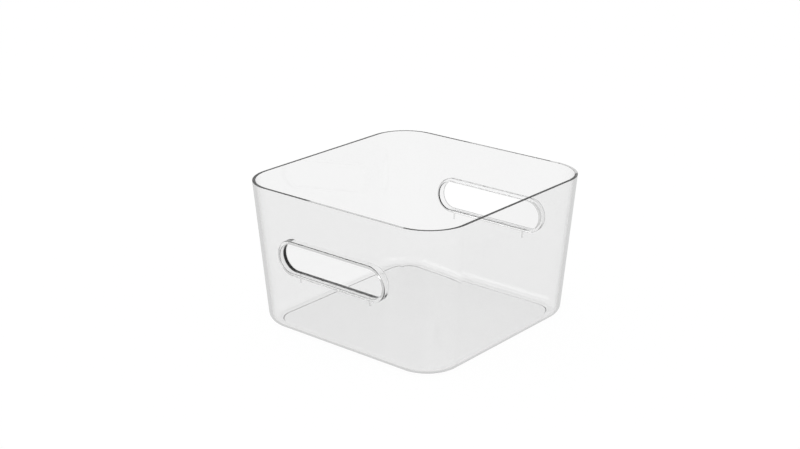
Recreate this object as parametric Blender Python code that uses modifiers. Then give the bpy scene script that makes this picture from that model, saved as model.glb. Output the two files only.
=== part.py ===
"""Clear storage box: a tapered tub with a press-fit rim round each of its two handle openings.

Metres, +Z up. The origin is the middle of the underside, on the surface the box stands on.
The handle walls face -Y (front) and +Y (back).
"""
import math

import bmesh
import bpy
from mathutils import Matrix, Vector

# Tub
TOP_WIDTH = 0.200
TOP_DEPTH = 0.200
HEIGHT = 0.118
WALL = 0.0025
DRAFT = math.radians(4.0)
CORNER_RADIUS = 0.0328
FLOOR = 0.0020
FLOOR_FILLET = 0.0083
INNER_FILLET = 0.0055
RIM_ROUND = 0.00025

# Ring that the tub stands on, measured in from the base's sharp edge, and the hollow inside it
FOOT_WIDTH = 0.0125
FOOT_DEPTH = 0.00065
FOOT_SLOPE = 0.0005
FOOT_CORNER_RADIUS = 0.0150
FOOT_ROUND = 0.0006

# Handle openings, measured inside their rims and along the leaning wall
GRIP_LENGTH = 0.1024
GRIP_OPENING = 0.0240
GRIP_CENTRE_HEIGHT = 0.0682

# Handle rims: a collar outside the wall, a sleeve through it and a low lip inside
RIM_BAND = 0.0027
RIM_PROUD = 0.0049
RIM_SLEEVE = 0.00115
RIM_LIP = 0.00075
RIM_FLARE = 0.00028
RIM_FRONT_ROUND = 0.0009
RIM_MOUTH_ROUND = 0.0005
RIM_INNER_ROUND = 0.0005
FIT_GAP = 0.0003

# Locating ribs under each rim
RIB_SPACING = 0.0700
RIB_WIDTH = 0.0007
RIB_LENGTH = 0.0055
RIB_PROUD = 0.0010

# One overrun serves every cut and every join
OVERRUN = 0.0010

# How finely round shapes are divided
CORNER_STEPS = 20
FILLET_STEPS = 6
RIM_ROUND_STEPS = 2
FOOT_STEPS = 2
END_STEPS = 28
EDGE_STEPS = 3

# Joins points that should be one
MERGE_DISTANCE = 0.00001

CLEAR_PLASTIC = (0.93, 0.94, 0.94, 1.0)
CLEAR_ALPHA_SHARE = 0.30
PLASTIC_ROUGHNESS = 0.06


def remove_old_objects():
    """Start from an empty scene."""
    for old in list(bpy.data.objects):
        bpy.data.objects.remove(old, do_unlink=True)


def new_collection(name):
    """Add a collection to the scene."""
    collection = bpy.data.collections.new(name)
    bpy.context.scene.collection.children.link(collection)
    return collection


def clear_plastic(name):
    """A clear glossy plastic under a name of its own."""
    material = bpy.data.materials.new(name)
    material.use_nodes = True
    shader = material.node_tree.nodes["Principled BSDF"]
    shader.inputs["Base Color"].default_value = CLEAR_PLASTIC
    shader.inputs["Roughness"].default_value = PLASTIC_ROUGHNESS
    shader.inputs["Metallic"].default_value = 0.0
    shader.inputs["Alpha"].default_value = CLEAR_ALPHA_SHARE
    return material


def object_from_bmesh(bm, name, collection):
    """Turn a finished bmesh into a smooth-shaded object."""
    mesh = bpy.data.meshes.new(name)
    bm.to_mesh(mesh)
    bm.free()
    mesh.shade_smooth()
    mesh.set_sharp_from_angle(angle=math.radians(30.0))
    obj = bpy.data.objects.new(name, mesh)
    collection.objects.link(obj)
    return obj


def hide_helper(obj):
    """Mark a cutter or another helper shape."""
    obj.hide_render = True
    obj.display_type = "WIRE"


def wall_frame(side):
    """Frame of a handle wall: X along it, Y into the box, Z up the lean, origin at the grip's middle.

    side is -1 for the front wall and +1 for the back wall.
    """
    lean_in = (HEIGHT - GRIP_CENTRE_HEIGHT) * math.tan(DRAFT)
    place = Matrix.Translation((0.0, -(TOP_DEPTH / 2 - lean_in), GRIP_CENTRE_HEIGHT))
    turn = Matrix.Rotation(math.pi if side > 0 else 0.0, 4, "Z")
    return turn @ place @ Matrix.Rotation(DRAFT, 4, "X")


def rounded_block(width, depth, height, corner, z):
    """A block with rounded upright edges, its middle at z."""
    bm = bmesh.new()
    bmesh.ops.create_cube(bm, size=1.0)
    place = Matrix.Translation((0.0, 0.0, z)) @ Matrix.Diagonal((width, depth, height, 1.0))
    bmesh.ops.transform(bm, verts=bm.verts, matrix=place)
    upright = [e for e in bm.edges if abs(e.verts[0].co.z - e.verts[1].co.z) > height / 2]
    bmesh.ops.bevel(bm, geom=upright, offset=corner, segments=CORNER_STEPS, profile=0.5, affect="EDGES")
    return bm


def leaning_block(width, depth, bottom, top, corner, fillet):
    """A closed block that narrows downwards by the draft, with a rounded lower edge.

    width, depth and corner are those at its top; the lower end is a smaller copy of it.
    """
    height = top - bottom
    middle = bottom + height / 2
    bm = rounded_block(width, depth, height, corner, middle)
    shrink = 2 * height * math.tan(DRAFT)
    narrower = Vector(((width - shrink) / width, (depth - shrink) / depth, 1.0))
    bmesh.ops.scale(bm, vec=narrower, verts=[v for v in bm.verts if v.co.z < middle])
    lower_edges = [e for e in bm.edges if max(v.co.z for v in e.verts) < middle]
    tangent_length = fillet * math.tan((math.pi / 2 - DRAFT) / 2)
    bmesh.ops.bevel(
        bm, geom=lower_edges, offset=tangent_length, segments=FILLET_STEPS, profile=0.5, affect="EDGES",
    )
    return bm


def make_inside_cutter(name, collection):
    """The room inside the tub, which stands a little above the rim."""
    wall = 2 * (WALL / math.cos(DRAFT) - OVERRUN * math.tan(DRAFT))
    bm = leaning_block(
        TOP_WIDTH - wall, TOP_DEPTH - wall, FLOOR, HEIGHT + OVERRUN, CORNER_RADIUS - WALL, INNER_FILLET,
    )
    cutter = object_from_bmesh(bm, name, collection)
    hide_helper(cutter)
    return cutter


def make_foot_cutter(name, collection):
    """The hollow of the underside, which leaves a ring to stand on: sloped sides, a rounded upper edge."""
    shrink = 2 * (HEIGHT * math.tan(DRAFT) + FOOT_WIDTH)
    width = TOP_WIDTH - shrink
    depth = TOP_DEPTH - shrink
    bm = rounded_block(width, depth, 2 * FOOT_DEPTH, FOOT_CORNER_RADIUS, 0.0)
    for side in (1, -1):
        slope = 2 * side * FOOT_SLOPE
        leaning = Vector(((width - slope) / width, (depth - slope) / depth, 1.0))
        bmesh.ops.scale(bm, vec=leaning, verts=[v for v in bm.verts if side * v.co.z > 0])
    upper = [e for e in bm.edges if min(v.co.z for v in e.verts) > FOOT_DEPTH / 2]
    bmesh.ops.bevel(bm, geom=upper, offset=FOOT_ROUND, segments=FOOT_STEPS, profile=0.5, affect="EDGES")
    cutter = object_from_bmesh(bm, name, collection)
    hide_helper(cutter)
    return cutter


def make_tub(name, collection, helpers):
    """The tub: a block hollowed out from above, its rim rounded, hollowed a little from below."""
    block = leaning_block(TOP_WIDTH, TOP_DEPTH, 0.0, HEIGHT, CORNER_RADIUS, FLOOR_FILLET)
    tub = object_from_bmesh(block, name, collection)
    join(tub, make_inside_cutter("inside", helpers), "DIFFERENCE", "inside")
    rim = tub.modifiers.new("rim", "BEVEL")
    rim.width = RIM_ROUND
    rim.segments = RIM_ROUND_STEPS
    rim.limit_method = "ANGLE"
    rim.angle_limit = math.radians(60.0)
    join(tub, make_foot_cutter("foot_hollow", helpers), "DIFFERENCE", "foot_hollow")
    return tub


def stadium(length, height, steps):
    """Points round a slot with half-round ends, anticlockwise in X and Y."""
    radius = height / 2
    reach = length / 2 - radius
    points = []
    for end, start in ((reach, -math.pi / 2), (-reach, math.pi / 2)):
        for i in range(steps + 1):
            angle = start + math.pi * i / steps
            points.append((end + radius * math.cos(angle), radius * math.sin(angle)))
    return points


def slot_cutter(name, length, height, thickness, collection):
    """A closed slot-shaped block, flat on the wall's plane and as deep as asked each way."""
    curve = bpy.data.curves.new(name, "CURVE")
    curve.dimensions = "2D"
    curve.fill_mode = "BOTH"
    curve.extrude = thickness / 2
    outline = stadium(length, height, END_STEPS)
    spline = curve.splines.new("POLY")
    spline.points.add(len(outline) - 1)
    for point, (x, y) in zip(spline.points, outline):
        point.co = (x, y, 0.0, 1.0)
    spline.use_cyclic_u = True
    guide = bpy.data.objects.new(name + "_outline", curve)
    collection.objects.link(guide)
    bpy.context.view_layer.update()
    mesh = bpy.data.meshes.new_from_object(guide.evaluated_get(bpy.context.evaluated_depsgraph_get()))
    bpy.data.objects.remove(guide, do_unlink=True)
    bm = bmesh.new()
    bm.from_mesh(mesh)
    bmesh.ops.remove_doubles(bm, verts=bm.verts, dist=MERGE_DISTANCE)
    # The outline was drawn flat: stand it up in the wall
    bmesh.ops.rotate(bm, verts=bm.verts, cent=(0.0, 0.0, 0.0), matrix=Matrix.Rotation(math.pi / 2, 3, "X"))
    bmesh.ops.recalc_face_normals(bm, faces=bm.faces)
    cutter = object_from_bmesh(bm, name, collection)
    hide_helper(cutter)
    return cutter


def arc(centre, radius, start, end, steps):
    """Points along an arc in the section's plane."""
    return [
        (
            centre[0] + radius * math.cos(start + (end - start) * i / steps),
            centre[1] + radius * math.sin(start + (end - start) * i / steps),
        )
        for i in range(steps + 1)
    ]


def rim_section():
    """Section of a handle rim: first number away from the opening, second out of the wall."""
    front = RIM_PROUD
    back = WALL + RIM_LIP
    quarter = math.pi / 2
    inner = RIM_INNER_ROUND
    mouth = RIM_MOUTH_ROUND
    outer = RIM_FRONT_ROUND
    points = arc((RIM_FLARE + inner, inner - back), inner, 3 * quarter, 2 * quarter, EDGE_STEPS)
    points += arc((mouth, front - mouth), mouth, 2 * quarter, quarter, EDGE_STEPS)
    points += arc((RIM_BAND - outer, front - outer), outer, quarter, 0.0, EDGE_STEPS)
    points += [(RIM_BAND, FIT_GAP), (RIM_SLEEVE, FIT_GAP), (RIM_SLEEVE, -back)]
    return points


def make_rim_ring(name, collection):
    """A slot-shaped ring swept from its section, in the wall's frame."""
    radius = GRIP_OPENING / 2
    reach = GRIP_LENGTH / 2 - radius
    bm = bmesh.new()
    verts = [bm.verts.new((reach, -out, -(radius + away))) for away, out in rim_section()]
    ring = [bm.edges.new((verts[i - 1], verts[i])) for i in range(len(verts))]
    section = verts + ring
    for end in (reach, -reach):
        turned = bmesh.ops.spin(
            bm, geom=section, cent=(end, 0.0, 0.0), axis=(0.0, -1.0, 0.0), angle=math.pi,
            steps=END_STEPS, use_duplicate=False,
        )
        edges = [g for g in turned["geom_last"] if isinstance(g, bmesh.types.BMEdge)]
        pulled = bmesh.ops.extrude_edge_only(bm, edges=edges)["geom"]
        moved = [g for g in pulled if isinstance(g, bmesh.types.BMVert)]
        bmesh.ops.translate(bm, verts=moved, vec=(-2 * end, 0.0, 0.0))
        section = moved + [g for g in pulled if isinstance(g, bmesh.types.BMEdge)]
    bmesh.ops.remove_doubles(bm, verts=bm.verts, dist=MERGE_DISTANCE)
    bmesh.ops.recalc_face_normals(bm, faces=bm.faces)
    return object_from_bmesh(bm, name, collection)


def make_rib(name, x, collection):
    """One locating rib, from inside the rim's band down the wall."""
    band_bottom = -(GRIP_OPENING / 2 + RIM_BAND)
    top = band_bottom + OVERRUN
    bottom = band_bottom - RIB_LENGTH
    depth = RIB_PROUD - FIT_GAP
    bm = bmesh.new()
    bmesh.ops.create_cube(bm, size=1.0)
    place = Matrix.Translation((x, -(FIT_GAP + depth / 2), (top + bottom) / 2))
    place @= Matrix.Diagonal((RIB_WIDTH, depth, top - bottom, 1.0))
    bmesh.ops.transform(bm, verts=bm.verts, matrix=place)
    rib = object_from_bmesh(bm, name, collection)
    hide_helper(rib)
    return rib


def join(base, tool, operation, name):
    """Cut or join one mesh object with another."""
    modifier = base.modifiers.new(name, "BOOLEAN")
    modifier.operation = operation
    modifier.solver = "EXACT"
    modifier.object = tool


def main():
    remove_old_objects()
    parts = new_collection("storage_box")
    helpers = new_collection("cutters")

    tub = make_tub("box_body", parts, helpers)
    tub.data.materials.append(clear_plastic("tub_plastic"))

    seat = 2 * (RIM_SLEEVE + FIT_GAP)
    for side, word in ((-1, "front"), (1, "back")):
        frame = wall_frame(side)
        cutter = slot_cutter(
            f"opening_{word}", GRIP_LENGTH + seat, GRIP_OPENING + seat, 2 * (WALL + 2 * OVERRUN), helpers,
        )
        cutter.matrix_world = frame
        join(tub, cutter, "DIFFERENCE", f"opening_{word}")

        rim = make_rim_ring(f"handle_rim_{word}", parts)
        rim.matrix_world = frame
        rim.data.materials.append(clear_plastic(f"rim_plastic_{word}"))
        for sign, hand in ((-1, "left"), (1, "right")):
            rib = make_rib(f"rib_{word}_{hand}", sign * RIB_SPACING / 2, helpers)
            rib.matrix_world = frame
            join(rim, rib, "UNION", f"rib_{hand}")


main()
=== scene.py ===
"""Looks of the clear storage box: its tub, the rims of its two hand openings, the floor and the light.

Metres, +Z up. The origin is the middle of the underside, on the surface that the box stands on.
The walls with the hand openings face -Y (front) and +Y (back).
"""
import logging
import math
from collections.abc import Callable, Iterator
from contextlib import contextmanager
from dataclasses import dataclass, field
from enum import Enum

import bmesh
import bpy
from mathutils import Matrix, Vector


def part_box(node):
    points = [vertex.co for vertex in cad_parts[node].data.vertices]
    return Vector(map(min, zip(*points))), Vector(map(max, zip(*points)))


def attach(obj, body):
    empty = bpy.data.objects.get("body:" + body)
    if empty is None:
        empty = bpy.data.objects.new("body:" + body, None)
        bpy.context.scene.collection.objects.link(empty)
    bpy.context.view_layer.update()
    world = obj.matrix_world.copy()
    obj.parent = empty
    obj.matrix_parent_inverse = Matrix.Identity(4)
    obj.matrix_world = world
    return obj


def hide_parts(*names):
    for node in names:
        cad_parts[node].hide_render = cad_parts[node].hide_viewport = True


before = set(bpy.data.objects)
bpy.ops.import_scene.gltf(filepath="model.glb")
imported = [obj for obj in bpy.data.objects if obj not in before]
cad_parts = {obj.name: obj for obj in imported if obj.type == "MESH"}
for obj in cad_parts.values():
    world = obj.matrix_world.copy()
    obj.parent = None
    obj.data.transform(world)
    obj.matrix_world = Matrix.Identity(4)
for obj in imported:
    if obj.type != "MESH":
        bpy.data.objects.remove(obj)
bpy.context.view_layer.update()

BODY = "root"
TUB_NODE = "box_body"
LOG = logging.getLogger("storage_box")

# The box's shape, as its solids have it
DRAFT = math.radians(4.0)
WALL = 0.0025
CAD_RIM_ROUND = 0.00025

# Where a rim touches the tub, both pieces keep this hair's breadth to the shared plane
CONTACT_GAP = 0.00002

# How near counts as the same place, and how near two points are when they become one
TINY = 0.000001
MERGE_DISTANCE = 0.000002

# Angles past which an edge is an outline, stays sharp, or isn't a trace of an earlier cut
OUTLINE_ANGLE = math.radians(60.0)
SHARP_ANGLE = math.radians(30.0)
FLAT_ANGLE = math.radians(0.1)

# How much of a face's normal lies along an axis before the face counts as turned that way
TURNED = 0.5

ROUND_PROFILE = 0.5
FLAT_FACE_WEIGHT = 100
MIDDLE = (0.0, 0.0, 0.0)
WHITE = (1.0, 1.0, 1.0, 1.0)

# A rule takes a point, edge or face and says whether it is wanted
Element = bmesh.types.BMVert | bmesh.types.BMEdge | bmesh.types.BMFace
Rule = Callable[[Element], bool]
Socket = bpy.types.NodeSocket


class Pick(Enum):
    """What a selection in edit mode is made of."""

    POINTS = "VERT"
    EDGES = "EDGE"
    FACES = "FACE"


class Round(Enum):
    """What a bevel rounds off."""

    CORNERS = "VERTICES"
    EDGES = "EDGES"


class Combine(Enum):
    """How one piece is combined with another."""

    CUT = "DIFFERENCE"
    JOIN = "UNION"


class Maths(Enum):
    """The maths that a material works out."""

    ADD = "ADD"
    SUBTRACT = "SUBTRACT"
    MULTIPLY = "MULTIPLY"
    LARGER = "MAXIMUM"
    IS_MORE = "GREATER_THAN"


class Side(Enum):
    """The two walls that have a hand opening."""

    FRONT = "front"
    BACK = "back"


def activate(piece: bpy.types.Object) -> None:
    """Makes a piece the only selected object and the active one.

    Args:
        piece: the object.
    """
    bpy.ops.object.select_all(action="DESELECT")
    piece.select_set(True)
    bpy.context.view_layer.objects.active = piece


@contextmanager
def editing(piece: bpy.types.Object) -> Iterator[None]:
    """Keeps one piece alone in edit mode.

    Args:
        piece: the mesh object to edit.
    """
    activate(piece)
    bpy.ops.object.mode_set(mode="EDIT")
    try:
        yield
    finally:
        bpy.ops.object.mode_set(mode="OBJECT")


def select(kind: Pick, rule: Rule) -> int:
    """Selects what a rule accepts in the mesh that is being edited, and nothing else.

    Args:
        kind: points, edges or faces.
        rule: says which of them are wanted.

    Returns:
        How many were selected.
    """
    bpy.ops.mesh.select_mode(type=kind.value)
    bpy.ops.mesh.select_all(action="DESELECT")
    mesh = bpy.context.edit_object.data
    bm = bmesh.from_edit_mesh(mesh)
    found = {Pick.POINTS: bm.verts, Pick.EDGES: bm.edges, Pick.FACES: bm.faces}[kind]
    wanted = [item for item in found if rule(item)]
    for item in wanted:
        item.select_set(True)
    bm.select_flush_mode()
    bmesh.update_edit_mesh(mesh)
    return len(wanted)


def select_all() -> None:
    """Selects the whole mesh that is being edited."""
    bpy.ops.mesh.select_all(action="SELECT")


def turn_outwards() -> None:
    """Turns every face of the mesh that is being edited outwards."""
    select_all()
    bpy.ops.mesh.normals_make_consistent(inside=False)


def round_off(kind: Round, radius: float, steps: int) -> None:
    """Rounds off the selected edges or corners.

    Args:
        kind: edges, or the corners of a flat outline.
        radius: how far from the edge or corner the round starts.
        steps: how many facets it has.
    """
    bpy.ops.mesh.bevel(offset=radius, segments=steps, profile=ROUND_PROFILE, affect=kind.value)


def is_upright(edge: bmesh.types.BMEdge, least: float) -> bool:
    """Whether an edge climbs by more than a given height."""
    return abs(edge.verts[0].co.z - edge.verts[1].co.z) > least


def middle(edge: bmesh.types.BMEdge) -> Vector:
    """The middle of an edge."""
    return (edge.verts[0].co + edge.verts[1].co) / 2


def rename(piece: bpy.types.Object, name: str) -> bpy.types.Object:
    """Gives a piece and its mesh a name.

    Args:
        piece: the mesh object.
        name: its new name.

    Returns:
        The piece.
    """
    piece.name = name
    piece.data.name = name
    return piece


def keep_place(piece: bpy.types.Object) -> None:
    """Moves a piece's place, turn and size into its mesh.

    Args:
        piece: the mesh object.
    """
    activate(piece)
    bpy.ops.object.transform_apply(location=True, rotation=True, scale=True)


def add_block(name: str, size: Vector, place: Vector) -> bpy.types.Object:
    """Adds a block of a given size, its middle at a given place.

    Args:
        name: the new object's name.
        size: its width, depth and height.
        place: its middle.

    Returns:
        The block, with its size and place in its mesh.
    """
    bpy.ops.object.select_all(action="DESELECT")
    bpy.ops.mesh.primitive_cube_add(size=1.0, location=place)
    block = rename(bpy.context.object, name)
    block.scale = size
    keep_place(block)
    return block


def settle(piece: bpy.types.Object, place: Matrix) -> None:
    """Moves a piece to its place and keeps the place in its mesh."""
    piece.matrix_world = place
    keep_place(piece)


def copy_of(piece: bpy.types.Object, name: str) -> bpy.types.Object:
    """Copies a piece and its mesh.

    Args:
        piece: the mesh object.
        name: the copy's name.

    Returns:
        The copy, with a mesh of its own.
    """
    activate(piece)
    bpy.ops.object.duplicate(linked=False)
    return rename(bpy.context.object, name)


def combine(base: bpy.types.Object, tool: bpy.types.Object, how: Combine) -> None:
    """Cuts or joins one piece with another, which is used up.

    Args:
        base: the piece that stays.
        tool: the piece that cuts it or joins it.
        how: cut or join.
    """
    activate(base)
    boolean = base.modifiers.new("combine", "BOOLEAN")
    boolean.operation = how.value
    boolean.solver = "EXACT"
    boolean.object = tool
    bpy.ops.object.modifier_apply(modifier=boolean.name)
    bpy.data.objects.remove(tool, do_unlink=True)


def smooth(piece: bpy.types.Object) -> None:
    """Shades a piece smooth, with its large flat faces kept truly flat.

    Args:
        piece: the finished mesh object.
    """
    activate(piece)
    bpy.ops.object.shade_smooth_by_angle(angle=SHARP_ANGLE)
    weighted = piece.modifiers.new("flat_faces", "WEIGHTED_NORMAL")
    weighted.mode = "FACE_AREA"
    weighted.weight = FLAT_FACE_WEIGHT
    weighted.keep_sharp = True
    bpy.ops.object.modifier_apply(modifier=weighted.name)


def set_finishes(piece: bpy.types.Object, *finishes: bpy.types.Material) -> None:
    """Gives a piece its finishes, the first of them all over.

    Args:
        piece: the mesh object.
        finishes: the materials, in the order of their slots.
    """
    piece.data.materials.clear()
    for finish in finishes:
        piece.data.materials.append(finish)


def mark_faces(piece: bpy.types.Object, rule: Rule) -> int:
    """Gives the faces that a rule accepts the piece's second finish.

    Args:
        piece: the mesh object.
        rule: says which faces are wanted.

    Returns:
        How many faces have it.
    """
    with editing(piece):
        found = select(Pick.FACES, rule)
        piece.active_material_index = 1
        bpy.ops.object.material_slot_assign()
    return found


@dataclass(frozen=True)
class Nodes:
    """Adds nodes to a material, a node group or the world, and joins them up.

    Args:
        tree: the node tree that they go into.
    """

    tree: bpy.types.NodeTree

    def feed(self, socket: Socket, value: Socket | float) -> None:
        """Gives an input its value.

        Args:
            socket: the input.
            value: the output that feeds it, or a plain number.
        """
        if isinstance(value, float):
            socket.default_value = value
        else:
            self.tree.links.new(value, socket)

    def maths(self, kind: Maths, first: Socket, second: Socket | float) -> Socket:
        """Works out one step of maths.

        Args:
            kind: which step.
            first: its first value.
            second: its second value.

        Returns:
            The result.
        """
        node = self.tree.nodes.new("ShaderNodeMath")
        node.operation = kind.value
        self.feed(node.inputs[0], first)
        self.feed(node.inputs[1], second)
        return node.outputs["Value"]

    def mix(self, share: Socket, first: float, second: Socket | float) -> Socket:
        """Mixes two levels.

        Args:
            share: how much of the second goes in.
            first: the level at a share of 0.
            second: the level at a share of 1.

        Returns:
            The mixed level.
        """
        node = self.tree.nodes.new("ShaderNodeMix")
        node.data_type = "FLOAT"
        self.feed(node.inputs["Factor"], share)
        self.feed(node.inputs["A"], first)
        self.feed(node.inputs["B"], second)
        return node.outputs["Result"]

    def noise(self, place: Socket, scale: Socket | float, detail: float) -> Socket:
        """Makes soft noise.

        Args:
            place: where on the piece.
            scale: how fine it is.
            detail: how many finer layers it has.

        Returns:
            The noise, from 0 to 1.
        """
        node = self.tree.nodes.new("ShaderNodeTexNoise")
        node.inputs["Detail"].default_value = detail
        self.feed(node.inputs["Vector"], place)
        self.feed(node.inputs["Scale"], scale)
        return node.outputs["Fac"]

    def ramp(self, value: Socket, start: float, end: float) -> Socket:
        """Goes smoothly from 0 where a value has one level to 1 where it has another.

        Args:
            value: the value.
            start: the level that gives 0.
            end: the level that gives 1.

        Returns:
            The share.
        """
        node = self.tree.nodes.new("ShaderNodeMapRange")
        node.interpolation_type = "SMOOTHSTEP"
        node.inputs["From Min"].default_value = start
        node.inputs["From Max"].default_value = end
        self.feed(node.inputs["Value"], value)
        return node.outputs["Result"]


@dataclass(frozen=True)
class MouldedSurface:
    """The shared look of a moulded surface: soft waves, a slight change of tint, and wear.

    Args:
        rim_height: the box's height, for the wear of its rim.
        floor_height: the height of the floor inside, where things are put down.
        name: the node group's name.
        worn_edge: how far the wear of the rim, the foot and the floor reaches, in metres.
        edge_share: the wear of the rim and the foot, as a share of the floor's.
        smudge_share: the wear of the smudges, as a share of the floor's.
        smudge_scale: how fine the smudges are.
        smudge_detail: how many finer layers they have.
        smudge_levels: the levels of the noise where a smudge starts and where it is full.
        wave_detail: how many finer layers the waves have.
    """

    rim_height: float
    floor_height: float
    name: str = "moulded_surface"
    worn_edge: float = 0.0006
    edge_share: float = 0.30
    smudge_share: float = 0.06
    smudge_scale: float = 28.0
    smudge_detail: float = 3.0
    smudge_levels: tuple[float, float] = (0.62, 0.75)
    wave_detail: float = 1.0

    def build(self) -> bpy.types.NodeTree:
        """Makes the node group.

        Returns:
            The group, which puts out a colour, a roughness and a height.
        """
        tree = bpy.data.node_groups.new(self.name, "ShaderNodeTree")
        for label, value in (("Tint", 0.9), ("Tint Change", 0.0), ("Wave Scale", 100.0), ("Wear", 0.0)):
            socket = tree.interface.new_socket(label, in_out="INPUT", socket_type="NodeSocketFloat")
            socket.default_value = value
        for label, kind in (("Color", "Color"), ("Roughness", "Float"), ("Height", "Float")):
            tree.interface.new_socket(label, in_out="OUTPUT", socket_type=f"NodeSocket{kind}")
        nodes = Nodes(tree)
        given = tree.nodes.new("NodeGroupInput").outputs
        result = tree.nodes.new("NodeGroupOutput").inputs
        place = tree.nodes.new("ShaderNodeTexCoord").outputs["Object"]

        nodes.feed(result["Height"], nodes.noise(place, given["Wave Scale"], self.wave_detail))
        cloud = nodes.noise(place, self.smudge_scale, self.smudge_detail)
        self.add_tint(nodes, cloud, given, result)
        self.add_wear(nodes, cloud, place, given, result)
        return tree

    def add_tint(
        self,
        nodes: Nodes,
        cloud: Socket,
        given: bpy.types.NodeOutputs,
        result: bpy.types.NodeInputs,
    ) -> None:
        """Lets the tint change a little from place to place.

        Args:
            nodes: the group's nodes.
            cloud: the noise of the smudges.
            given: what the group is given.
            result: what it puts out.
        """
        around_zero = nodes.maths(Maths.SUBTRACT, cloud, 0.5)
        change = nodes.maths(Maths.MULTIPLY, around_zero, given["Tint Change"])
        tint = nodes.maths(Maths.ADD, given["Tint"], change)
        colour = nodes.tree.nodes.new("ShaderNodeCombineColor")
        for channel in ("Red", "Green", "Blue"):
            nodes.feed(colour.inputs[channel], tint)
        nodes.feed(result["Color"], colour.outputs["Color"])

    def add_wear(
        self,
        nodes: Nodes,
        cloud: Socket,
        place: Socket,
        given: bpy.types.NodeOutputs,
        result: bpy.types.NodeInputs,
    ) -> None:
        """Roughens the rim, the foot and the floor inside, and a few smudges.

        Args:
            nodes: the group's nodes.
            cloud: the noise of the smudges.
            place: where on the piece.
            given: what the group is given.
            result: what it puts out.
        """
        split = nodes.tree.nodes.new("ShaderNodeSeparateXYZ")
        nodes.feed(split.inputs["Vector"], place)
        height = split.outputs["Z"]
        foot = nodes.ramp(height, self.worn_edge, 0.0)
        rim = nodes.ramp(height, self.rim_height - self.worn_edge, self.rim_height)
        edges = nodes.maths(Maths.MULTIPLY, nodes.maths(Maths.LARGER, foot, rim), self.edge_share)
        above = nodes.ramp(height, self.floor_height - self.worn_edge, self.floor_height)
        below = nodes.ramp(height, self.floor_height + self.worn_edge, self.floor_height)
        floor = nodes.maths(Maths.MULTIPLY, above, below)
        smudges = nodes.maths(Maths.MULTIPLY, nodes.ramp(cloud, *self.smudge_levels), self.smudge_share)
        worn = nodes.maths(Maths.ADD, nodes.maths(Maths.LARGER, edges, floor), smudges)
        nodes.feed(result["Roughness"], nodes.maths(Maths.MULTIPLY, worn, given["Wear"]))


@dataclass(frozen=True)
class ClearPlastic:
    """Polished, colourless moulded plastic.

    Args:
        name: the material's name.
        tint: how much light one wall lets through.
        tint_change: how much that changes from place to place.
        ior: the refractive index.
        wave_scale: how close the waves of the moulded surface are.
        wave_height: how high they are, in metres.
        wear: the roughness of the most worn places.
    """

    name: str
    tint: float = 0.939
    tint_change: float = 0.012
    ior: float = 1.49
    wave_scale: float = 45.0
    wave_height: float = 0.000004
    wear: float = 0.13

    def build(self, surface: bpy.types.NodeTree) -> bpy.types.Material:
        """Makes the material.

        Args:
            surface: the node group of the moulded surface.

        Returns:
            The material.
        """
        material = bpy.data.materials.new(self.name)
        material.use_nodes = True
        tree = material.node_tree
        nodes = Nodes(tree)
        shader = tree.nodes["Principled BSDF"]
        shader.inputs["IOR"].default_value = self.ior
        shader.inputs["Transmission Weight"].default_value = 1.0
        moulded = tree.nodes.new("ShaderNodeGroup")
        moulded.node_tree = surface
        for label, value in (
            ("Tint", self.tint),
            ("Tint Change", self.tint_change),
            ("Wave Scale", self.wave_scale),
            ("Wear", self.wear),
        ):
            moulded.inputs[label].default_value = value
        bump = tree.nodes.new("ShaderNodeBump")
        bump.inputs["Distance"].default_value = self.wave_height
        nodes.feed(shader.inputs["Base Color"], moulded.outputs["Color"])
        nodes.feed(shader.inputs["Roughness"], moulded.outputs["Roughness"])
        nodes.feed(bump.inputs["Height"], moulded.outputs["Height"])
        nodes.feed(shader.inputs["Normal"], bump.outputs["Normal"])
        return material


@dataclass(frozen=True)
class JointFace:
    """The faces where rim and tub sit tight on each other, so that light passes straight through.

    Args:
        name: the material's name.
    """

    name: str = "joint_face"

    def build(self) -> bpy.types.Material:
        """Makes the material.

        Returns:
            The material.
        """
        material = bpy.data.materials.new(self.name)
        material.use_nodes = True
        shader = material.node_tree.nodes["Principled BSDF"]
        shader.inputs["Alpha"].default_value = 0.0
        return material


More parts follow.
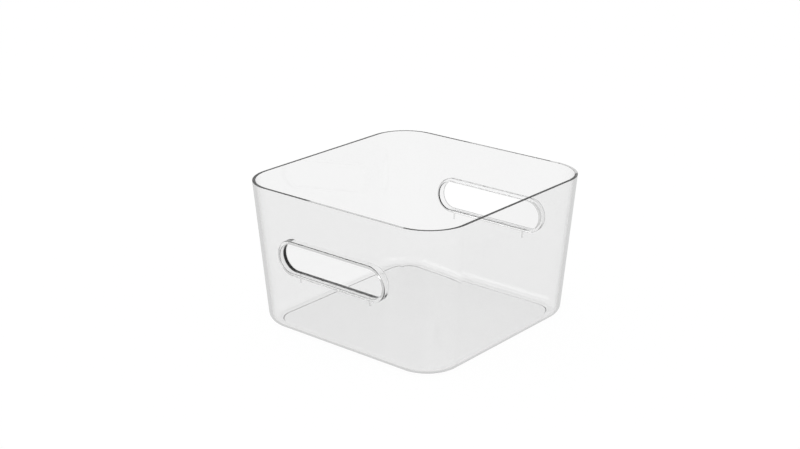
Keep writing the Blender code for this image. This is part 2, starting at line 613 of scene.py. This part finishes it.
@dataclass
class HandOpening:
    """Sizes and place of a hand opening, which the tub and its rims share.

    Args:
        length: the opening's length along the wall.
        height: its height up the wall.
        centre_height: how high its middle is above the surface that the box stands on.
        sleeve: how thick the rim is inside the wall.
        band: how wide the rim is outside the wall.
        proud: how far it stands out of the wall.
        lip: how far it stands into the box.
        flare: how much wider the opening is at its inner end.
        end_steps: how many facets each round end has.
    """

    length: float = 0.1024
    height: float = 0.0240
    centre_height: float = 0.0682
    sleeve: float = 0.00115
    band: float = 0.0027
    proud: float = 0.0049
    lip: float = 0.00075
    flare: float = 0.00028
    end_steps: int = 48

    @property
    def radius(self) -> float:
        """Radius of the opening's round ends."""
        return self.height / 2

    @property
    def reach(self) -> float:
        """How far each round end's centre is from the middle."""
        return self.length / 2 - self.radius

    def wall_place(self, side: Side) -> Matrix:
        """Where a wall's own frame lies: X along the wall, Y into the box, Z up the lean.

        Args:
            side: the wall.

        Returns:
            The frame, with its origin at the middle of the opening on the outer face.
        """
        low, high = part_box(TUB_NODE)
        half_depth = (high.y - low.y) / 2 + CAD_RIM_ROUND * math.tan(DRAFT)
        lean_in = (high.z - self.centre_height) * math.tan(DRAFT)
        place = Matrix.Translation((0.0, -(half_depth - lean_in), self.centre_height))
        turn = Matrix.Rotation(math.pi if side is Side.BACK else 0.0, 4, "Z")
        return turn @ place @ Matrix.Rotation(DRAFT, 4, "X")

    def outside(self, point: Vector) -> float:
        """How far a point of the wall's frame lies outside the opening's edge, along the wall."""
        along = max(abs(point.x) - self.reach, 0.0)
        return math.hypot(along, point.z) - self.radius

    def shape_block(self, name: str, grow: float, start: float, end: float) -> bpy.types.Object:
        """Shapes a block like the opening, grown outwards, in the wall's frame.

        Args:
            name: the new object's name.
            grow: how far its edge lies outside the opening's edge.
            start: where it starts along the wall's Y.
            end: where it ends.

        Returns:
            The closed block.
        """
        bpy.ops.object.select_all(action="DESELECT")
        bpy.ops.mesh.primitive_cylinder_add(
            vertices=2 * self.end_steps,
            radius=self.radius + grow,
            depth=end - start,
            location=(0.0, (start + end) / 2, 0.0),
            rotation=(math.pi / 2, 0.0, 0.0),
        )
        block = rename(bpy.context.object, name)
        keep_place(block)
        with editing(block):
            select_all()
            bpy.ops.mesh.bisect(plane_co=MIDDLE, plane_no=(1.0, 0.0, 0.0), clear_inner=True)
            select_all()
            bpy.ops.transform.translate(value=(self.reach, 0.0, 0.0))
            select(Pick.EDGES, lambda e: e.is_boundary)
            bpy.ops.mesh.extrude_region_move(TRANSFORM_OT_translate={"value": (-self.reach, 0.0, 0.0)})
            select(Pick.POINTS, lambda v: abs(v.co.x) < TINY)
            bpy.ops.transform.resize(value=(0.0, 1.0, 1.0), center_override=MIDDLE)
        mirror = block.modifiers.new("other_half", "MIRROR")
        mirror.use_axis = (True, False, False)
        mirror.use_clip = True
        mirror.merge_threshold = MERGE_DISTANCE
        activate(block)
        bpy.ops.object.modifier_apply(modifier=mirror.name)
        with editing(block):
            select_all()
            bpy.ops.mesh.remove_doubles(threshold=MERGE_DISTANCE)
            bpy.ops.mesh.dissolve_limited(angle_limit=FLAT_ANGLE)
            turn_outwards()
        return block


@dataclass
class Tub:
    """The tub: floor, four leaning walls, round corners, soft foot, round rim and a ring to stand on.

    Its height, and its width and depth at the rim (top), come from the tub's part in model.glb.

    Args:
        opening: the hand opening in its front and back walls.
        corner_radius: the radius of its upright corners at the rim.
        floor_fillet: the radius of its lower edge outside.
        inner_fillet: the radius between walls and floor inside.
        floor: the floor's thickness.
        rim_round: the radius of the rim's edges.
        foot_width: how far in from the side the hollow of the underside starts.
        foot_depth: how deep that hollow is.
        foot_slope: how far its sides lean in.
        foot_corner: the radius of its corners.
        foot_round: the radius of its upper edge.
        corner_steps: how many facets a corner has.
        fillet_steps: how many facets a fillet has.
        rim_steps: how many facets the rim's round has.
        foot_steps: how many facets the hollow's round has.
    """

    opening: HandOpening
    corner_radius: float = 0.0328
    floor_fillet: float = 0.0083
    inner_fillet: float = 0.0055
    floor: float = 0.0020
    rim_round: float = 0.00025
    foot_width: float = 0.0125
    foot_depth: float = 0.00065
    foot_slope: float = 0.0005
    foot_corner: float = 0.0150
    foot_round: float = 0.0006
    corner_steps: int = 40
    fillet_steps: int = 12
    rim_steps: int = 4
    foot_steps: int = 5
    height: float = field(init=False)
    top: Vector = field(init=False)

    def __post_init__(self) -> None:
        """Takes the outer sizes from the tub's part in model.glb."""
        low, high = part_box(TUB_NODE)
        lost = 2 * CAD_RIM_ROUND * math.tan(DRAFT)
        self.height = high.z
        self.top = Vector((high.x - low.x + lost, high.y - low.y + lost))

    def at_height(self, rim: Vector, z: float) -> Vector:
        """Width and depth of a leaning block at a height, from those at the rim."""
        shrink = 2 * (self.height - z) * math.tan(DRAFT)
        return Vector((rim.x - shrink, rim.y - shrink))

    def shape_block(
        self, name: str, rim: Vector, bottom: float, upper: float, corner: float, fillet: float
    ) -> bpy.types.Object:
        """Shapes a block that leans like the walls, with round upright corners and a round lower edge.

        Args:
            name: the new object's name.
            rim: its width and depth at the height of the rim.
            bottom: the height of its lower face.
            upper: the height of its upper face.
            corner: the radius of its upright corners at its upper face.
            fillet: the radius of its lower edge.

        Returns:
            The closed block.
        """
        tall = upper - bottom
        halfway = bottom + tall / 2
        wide = self.at_height(rim, upper)
        narrow = self.at_height(rim, bottom)
        block = add_block(name, Vector((wide.x, wide.y, tall)), Vector((0.0, 0.0, halfway)))
        with editing(block):
            select(Pick.EDGES, lambda e: is_upright(e, tall / 2))
            round_off(Round.EDGES, corner, self.corner_steps)
            select(Pick.POINTS, lambda v: v.co.z < halfway)
            share = (narrow.x / wide.x, narrow.y / wide.y, 1.0)
            bpy.ops.transform.resize(value=share, center_override=MIDDLE)
            select(Pick.EDGES, lambda e: max(v.co.z for v in e.verts) < halfway)
            tangent = fillet * math.tan((math.pi / 2 - DRAFT) / 2)
            round_off(Round.EDGES, tangent, self.fillet_steps)
        return block

    def shape_walls(self) -> bpy.types.Object:
        """Hollows a block out with a smaller one and rounds the rim that is left.

        Returns:
            The tub without its openings and the hollow of its underside.
        """
        wall = 2 * WALL / math.cos(DRAFT)
        inside = Vector((self.top.x - wall, self.top.y - wall))
        above = self.height + WALL
        tub = self.shape_block(
            "clear_tub", self.top, 0.0, self.height, self.corner_radius, self.floor_fillet
        )
        inner = self.shape_block(
            "inside", inside, self.floor, above, self.corner_radius - WALL, self.inner_fillet
        )
        combine(tub, inner, Combine.CUT)
        with editing(tub):
            select(Pick.EDGES, self.is_rim_edge)
            round_off(Round.EDGES, self.rim_round, self.rim_steps)
        return tub

    def is_rim_edge(self, edge: bmesh.types.BMEdge) -> bool:
        """Whether an edge runs along the rim's outer or inner outline."""
        level = min(v.co.z for v in edge.verts) > self.height - TINY
        return level and edge.calc_face_angle(0.0) > OUTLINE_ANGLE

    def hollow_cutter(self) -> bpy.types.Object:
        """Shapes the hollow of the underside, with sloped sides and a rounded upper edge.

        Returns:
            The closed block that cuts it.
        """
        base = self.at_height(self.top, 0.0)
        width = base.x - 2 * self.foot_width
        depth = base.y - 2 * self.foot_width
        cutter = add_block("hollow", Vector((width, depth, 2 * self.foot_depth)), Vector(MIDDLE))
        with editing(cutter):
            select(Pick.EDGES, lambda e: is_upright(e, self.foot_depth))
            round_off(Round.EDGES, self.foot_corner, self.corner_steps)
            for half in (1.0, -1.0):
                select(Pick.POINTS, lambda v: half * v.co.z > 0)
                slope = 1 - half * 2 * self.foot_slope / width
                bpy.ops.transform.resize(value=(slope, slope, 1.0), center_override=MIDDLE)
            select(Pick.EDGES, lambda e: min(v.co.z for v in e.verts) > self.foot_depth - TINY)
            round_off(Round.EDGES, self.foot_round, self.foot_steps)
        return cutter

    def opening_cutter(self) -> bpy.types.Object:
        """Shapes the hole for a rim's sleeve, with a hair-deep recess for its band, in the wall's frame.

        Returns:
            The closed block that cuts it.
        """
        seat = self.opening.shape_block("hole", self.opening.sleeve + CONTACT_GAP, -WALL, 2 * WALL)
        band = self.opening.shape_block("recess", self.opening.band + TINY, -WALL, CONTACT_GAP)
        combine(seat, band, Combine.JOIN)
        return seat

    def build(self, plastic: bpy.types.Material, joint: bpy.types.Material) -> bpy.types.Object:
        """Builds the tub and dresses it.

        Args:
            plastic: the clear plastic.
            joint: the finish of the faces that the rims sit on.

        Returns:
            The tub.
        """
        tub = self.shape_walls()
        combine(tub, self.hollow_cutter(), Combine.CUT)
        hole = self.opening_cutter()
        for side in Side:
            cutter = copy_of(hole, f"hole_{side.value}")
            settle(cutter, self.opening.wall_place(side))
            combine(tub, cutter, Combine.CUT)
        bpy.data.objects.remove(hole, do_unlink=True)
        set_finishes(tub, plastic, joint)
        for side in Side:
            found = mark_faces(tub, self.touches_rim(side))
            LOG.info("joint faces on the tub, %s: %d", side.value, found)
        smooth(tub)
        return tub

    def touches_rim(self, side: Side) -> Rule:
        """Makes the rule that tells the faces that a rim sits on.

        Args:
            side: the rim's wall.

        Returns:
            The rule, which takes a face.
        """
        to_wall = self.opening.wall_place(side).inverted()

        def touches(face: bmesh.types.BMFace) -> bool:
            """Says whether a face is part of the hole's edge or of the recess.

            Args:
                face: a face of the tub.

            Returns:
                Whether a rim sits on it.
            """
            place = to_wall @ face.calc_center_median()
            if not -CONTACT_GAP < place.y < WALL + CONTACT_GAP or abs(place.z) > self.opening.height:
                return False
            normal = to_wall.to_3x3() @ face.normal
            if abs(normal.y) < TURNED:
                return self.opening.outside(place) < self.opening.band / 2
            points = [to_wall @ v.co for v in face.verts]
            return all(abs(p.y - CONTACT_GAP) < CONTACT_GAP / 4 for p in points)

        return touches


@dataclass
class GripRim:
    """The rim of a hand opening: a sleeve through the wall, a raised collar outside and two short ribs.

    Args:
        opening: the hand opening that it lines.
        inner_round: the radius of the lip's inner edge.
        mouth_round: the radius of the collar's edge at the hole.
        front_round: the radius of the collar's outer edge.
        edge_steps: how many facets these rounds have.
        rib_spacing: how far apart the ribs are.
        rib_width: how wide a rib is.
        rib_length: how far it hangs below the collar.
        rib_proud: how far it stands out of the wall.
        rib_overlap: how far it runs up inside the collar.
    """

    opening: HandOpening
    inner_round: float = 0.0005
    mouth_round: float = 0.0005
    front_round: float = 0.0009
    edge_steps: int = 6
    rib_spacing: float = 0.0700
    rib_width: float = 0.0007
    rib_length: float = 0.0055
    rib_proud: float = 0.0010
    rib_overlap: float = 0.0010

    def shape_section(self) -> bpy.types.Object:
        """Shapes the rim's section as one flat face below the opening, in the wall's frame.

        Returns:
            The flat face.
        """
        opening = self.opening
        inner = -opening.radius
        sleeve = inner - opening.sleeve
        band = inner - opening.band
        front = -opening.proud
        back = WALL + opening.lip

        def is_corner(point: bmesh.types.BMVert, y: float, z: float) -> bool:
            """Whether a point of the section is the one at a given place."""
            return abs(point.co.y - y) < TINY and abs(point.co.z - z) < TINY

        bpy.ops.object.select_all(action="DESELECT")
        bpy.ops.mesh.primitive_plane_add(
            size=1.0,
            location=(opening.reach, (front + back) / 2, (inner + sleeve) / 2),
            rotation=(0.0, math.pi / 2, 0.0),
        )
        section = bpy.context.object
        section.scale = (opening.sleeve, back - front, 1.0)
        keep_place(section)
        with editing(section):
            select_all()
            bpy.ops.mesh.bisect(plane_co=MIDDLE, plane_no=(0.0, 1.0, 0.0))
            select(Pick.EDGES, lambda e: abs(middle(e).z - sleeve) < TINY and middle(e).y < 0)
            bpy.ops.mesh.extrude_edges_move(TRANSFORM_OT_translate={"value": (0.0, 0.0, band - sleeve)})
            select_all()
            bpy.ops.mesh.dissolve_limited(angle_limit=FLAT_ANGLE)
            select(Pick.POINTS, lambda v: is_corner(v, back, inner))
            bpy.ops.transform.translate(value=(0.0, 0.0, -opening.flare))
            for y, z, radius in (
                (back, inner - opening.flare, self.inner_round),
                (front, inner, self.mouth_round),
                (front, band, self.front_round),
            ):
                select(Pick.POINTS, lambda v: is_corner(v, y, z))
                round_off(Round.CORNERS, radius, self.edge_steps)
        return section

    def shape_ring(self) -> bpy.types.Object:
        """Sweeps the rim's section round the opening, in the wall's frame.

        Returns:
            The closed ring.
        """
        ring = self.shape_section()
        with editing(ring):
            select_all()
            bpy.ops.mesh.delete(type="ONLY_FACE")
            # A point on the sleeve where the wall ends, so that the joint's finish can end there too
            select_all()
            bpy.ops.mesh.bisect(plane_co=(0.0, WALL, 0.0), plane_no=(0.0, 1.0, 0.0))
            select_all()
            for end in (self.opening.reach, -self.opening.reach):
                bpy.ops.mesh.spin(
                    steps=self.opening.end_steps,
                    angle=math.pi,
                    center=(end, 0.0, 0.0),
                    axis=(0.0, 1.0, 0.0),
                )
                bpy.ops.mesh.extrude_edges_move(TRANSFORM_OT_translate={"value": (-2 * end, 0.0, 0.0)})
            select_all()
            bpy.ops.mesh.remove_doubles(threshold=MERGE_DISTANCE)
            turn_outwards()
        return ring

    def shape_rib(self) -> bpy.types.Object:
        """Shapes a rib below the middle of the rim, from inside the band down the wall.

        Returns:
            The closed rib.
        """
        band_bottom = -(self.opening.radius + self.opening.band)
        top = band_bottom + self.rib_overlap
        bottom = band_bottom - self.rib_length
        depth = self.rib_proud - CONTACT_GAP
        size = Vector((self.rib_width, depth, top - bottom))
        return add_block("rib", size, Vector((0.0, -(CONTACT_GAP + depth / 2), (top + bottom) / 2)))

    def shape(self) -> bpy.types.Object:
        """Shapes a whole rim in the wall's frame.

        Returns:
            The rim.
        """
        rim = self.shape_ring()
        rib = self.shape_rib()
        for x in (-self.rib_spacing / 2, self.rib_spacing / 2):
            twin = copy_of(rib, "rib_copy")
            settle(twin, Matrix.Translation((x, 0.0, 0.0)))
            combine(rim, twin, Combine.JOIN)
        bpy.data.objects.remove(rib, do_unlink=True)
        return rim

    def touches_tub(self, face: bmesh.types.BMFace) -> bool:
        """Says whether a face of a rim in the wall's frame is the sleeve's outside or the band's back.

        Args:
            face: a face of the rim.

        Returns:
            Whether it sits on the tub.
        """
        place = face.calc_center_median()
        if abs(face.normal.y) > TURNED:
            return abs(place.y) < TINY
        on_sleeve = abs(self.opening.outside(place) - self.opening.sleeve) < self.opening.sleeve / 4
        return on_sleeve and 0 < place.y < WALL

    def build(self, plastic: bpy.types.Material, joint: bpy.types.Material) -> dict[Side, bpy.types.Object]:
        """Builds both rims and dresses them.

        Args:
            plastic: the clear plastic.
            joint: the finish of the faces that sit on the tub.

        Returns:
            The rims by their side.
        """
        pattern = self.shape()
        set_finishes(pattern, plastic, joint)
        LOG.info("joint faces on the rim: %d", mark_faces(pattern, self.touches_tub))
        rims = {}
        for side in Side:
            rim = copy_of(pattern, f"grip_rim_{side.value}")
            settle(rim, self.opening.wall_place(side))
            smooth(rim)
            rims[side] = rim
        bpy.data.objects.remove(pattern, do_unlink=True)
        return rims


@dataclass(frozen=True)
class PaleRoom:
    """How bright the floor and the surroundings are for each kind of light.

    White is what the camera sees directly or through the plastic. What reaches it by reflection
    is the pale grey of the studio's sides, which draws the edges of clear plastic.

    Args:
        seen_level: the level for what the camera sees directly or through the plastic.
        reflected_level: the level for what it sees by reflection.
        open_level: the level for all other light.
    """

    seen_level: float = 1.0
    reflected_level: float = 0.68
    open_level: float = 1.0

    def level(self, nodes: Nodes) -> Socket:
        """Works out how bright a surrounding surface is for a ray.

        Args:
            nodes: the nodes of the world or of the floor.

        Returns:
            The level.
        """
        path = nodes.tree.nodes.new("ShaderNodeLightPath").outputs
        direct = nodes.maths(Maths.LARGER, path["Is Camera Ray"], path["Is Glossy Ray"])
        seen = nodes.maths(Maths.LARGER, direct, path["Is Transmission Ray"])
        reflected = nodes.maths(Maths.IS_MORE, path["Glossy Depth"], 0.5)
        return nodes.mix(seen, self.open_level, nodes.mix(reflected, self.seen_level, self.reflected_level))


@dataclass(frozen=True)
class FloorFinish:
    """The floor's finish: mostly a plain glow, a little matt white, and clear from below.

    Args:
        room: how bright the glow is.
        name: the material's name.
        shadow_share: how much of it takes the light of the lamps, and so the box's shadow.
    """

    room: PaleRoom
    name: str = "pale_floor"
    shadow_share: float = 0.03

    def build(self) -> bpy.types.Material:
        """Makes the material.

        Returns:
            The material.
        """
        material = bpy.data.materials.new(self.name)
        material.use_nodes = True
        tree = material.node_tree
        tree.nodes.remove(tree.nodes["Principled BSDF"])
        nodes = Nodes(tree)
        glow = tree.nodes.new("ShaderNodeEmission")
        glow.inputs["Color"].default_value = WHITE
        nodes.feed(glow.inputs["Strength"], self.room.level(nodes))
        matt = tree.nodes.new("ShaderNodeBsdfDiffuse")
        matt.inputs["Color"].default_value = WHITE
        clear = tree.nodes.new("ShaderNodeBsdfTransparent")
        geometry = tree.nodes.new("ShaderNodeNewGeometry")
        top = tree.nodes.new("ShaderNodeMixShader")
        top.inputs["Fac"].default_value = self.shadow_share
        nodes.feed(top.inputs[1], glow.outputs["Emission"])
        nodes.feed(top.inputs[2], matt.outputs["BSDF"])
        both = tree.nodes.new("ShaderNodeMixShader")
        nodes.feed(both.inputs["Fac"], geometry.outputs["Backfacing"])
        nodes.feed(both.inputs[1], top.outputs["Shader"])
        nodes.feed(both.inputs[2], clear.outputs["BSDF"])
        nodes.feed(tree.nodes["Material Output"].inputs["Surface"], both.outputs["Shader"])
        return material


@dataclass(frozen=True)
class Lamp:
    """A large soft lamp that points at the box.

    Args:
        name: the lamp's name.
        place: where it hangs.
        size: its width.
        power: its power in watts.
    """

    name: str
    place: tuple[float, float, float]
    size: float
    power: float

    def build(self) -> None:
        """Adds the lamp."""
        aim = -Vector(self.place)
        bpy.ops.object.light_add(
            type="AREA", location=self.place, rotation=aim.to_track_quat("-Z", "Y").to_euler()
        )
        lamp = bpy.context.object
        lamp.name = self.name
        lamp.data.shape = "DISK"
        lamp.data.size = self.size
        lamp.data.energy = self.power


@dataclass
class Studio:
    """The floor, the lamps, the surroundings and the camera.

    Args:
        azimuth: the camera's direction round the box, in degrees from the front.
        elevation: how high it looks down from, in degrees.
        distance: how far it is from the origin along its line of sight.
        aim_right: how far it is moved to its right.
        aim_up: how far it is moved up.
        focal_length: its focal length in millimetres.
        sensor_width: its sensor's width in millimetres.
        floor_radius: the radius of the floor.
        floor_gap: how far the floor lies below the box.
        floor_steps: how many sides the floor has.
        passes: how often light may pass through the plastic.
        reflections: how often it may be reflected.
        joint_passes: how many joint faces it may pass straight through.
        room: how bright the floor and the surroundings are.
        lamps: the lamps.
    """

    azimuth: float = 39.996
    elevation: float = 19.788
    distance: float = 1.176265
    aim_right: float = -0.012602
    aim_up: float = 0.072589
    focal_length: float = 65.324
    sensor_width: float = 36.0
    floor_radius: float = 3.0
    floor_gap: float = 0.0002
    floor_steps: int = 96
    passes: int = 24
    reflections: int = 12
    joint_passes: int = 64
    room: PaleRoom = PaleRoom()
    lamps: tuple[Lamp, ...] = (
        Lamp("key_lamp", (-0.9, -0.7, 1.3), 1.2, 4.0),
        Lamp("fill_lamp", (1.1, 0.2, 1.0), 1.2, 2.5),
    )

    def build(self) -> None:
        """Adds the whole studio."""
        self.add_camera()
        self.add_world()
        self.add_floor()
        for lamp in self.lamps:
            lamp.build()
        self.set_render_limits()

    def add_camera(self) -> None:
        """Adds the camera at the photograph's viewing angle."""
        turn = math.radians(self.azimuth)
        tilt = math.radians(self.elevation)
        back = Vector((math.sin(turn) * math.cos(tilt), -math.cos(turn) * math.cos(tilt), math.sin(tilt)))
        right = Vector((math.cos(turn), math.sin(turn), 0.0))
        up = back.cross(right)
        bpy.ops.object.camera_add(
            location=back * self.distance + right * self.aim_right + up * self.aim_up,
            rotation=(math.pi / 2 - tilt, 0.0, turn),
        )
        camera = bpy.context.object
        camera.name = "camera"
        camera.data.lens = self.focal_length
        camera.data.sensor_width = self.sensor_width
        bpy.context.scene.camera = camera

    def add_world(self) -> None:
        """Adds white surroundings."""
        world = bpy.data.worlds.new("white_room")
        bpy.context.scene.world = world
        world.use_nodes = True
        nodes = Nodes(world.node_tree)
        background = world.node_tree.nodes["Background"]
        background.inputs["Color"].default_value = WHITE
        nodes.feed(background.inputs["Strength"], self.room.level(nodes))

    def add_floor(self) -> None:
        """Adds a plain white floor that keeps a faint shadow and doesn't show from below."""
        bpy.ops.object.select_all(action="DESELECT")
        bpy.ops.mesh.primitive_circle_add(
            vertices=self.floor_steps,
            radius=self.floor_radius,
            fill_type="NGON",
            location=(0.0, 0.0, -self.floor_gap),
        )
        floor = bpy.context.object
        floor.name = "floor"
        floor.data.materials.append(FloorFinish(self.room).build())

    def set_render_limits(self) -> None:
        """Lets light pass as often through the plastic as its edges need."""
        scene = bpy.context.scene
        scene.view_settings.view_transform = "Standard"
        scene.cycles.max_bounces = self.passes
        scene.cycles.transmission_bounces = self.passes
        scene.cycles.glossy_bounces = self.reflections
        scene.cycles.transparent_max_bounces = self.joint_passes


def main() -> None:
    """Builds the storage box and its studio."""
    logging.basicConfig(level=logging.INFO, format="%(name)s: %(message)s")
    Studio().build()

    opening = HandOpening()
    shape = Tub(opening)
    surface = MouldedSurface(shape.height, shape.floor).build()
    joint = JointFace().build()
    tub = shape.build(ClearPlastic("tub_clear").build(surface), joint)
    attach(tub, BODY)
    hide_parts(TUB_NODE)
    LOG.info("%s: %d faces", tub.name, len(tub.data.polygons))

    rim_plastic = ClearPlastic("rim_clear", wave_scale=300.0, wave_height=0.00008)
    rims = GripRim(opening).build(rim_plastic.build(surface), joint)
    for side, rim in rims.items():
        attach(rim, BODY)
        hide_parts(f"handle_rim_{side.value}")
        LOG.info("%s: %d faces", rim.name, len(rim.data.polygons))


if __name__ == "__main__":
    main()
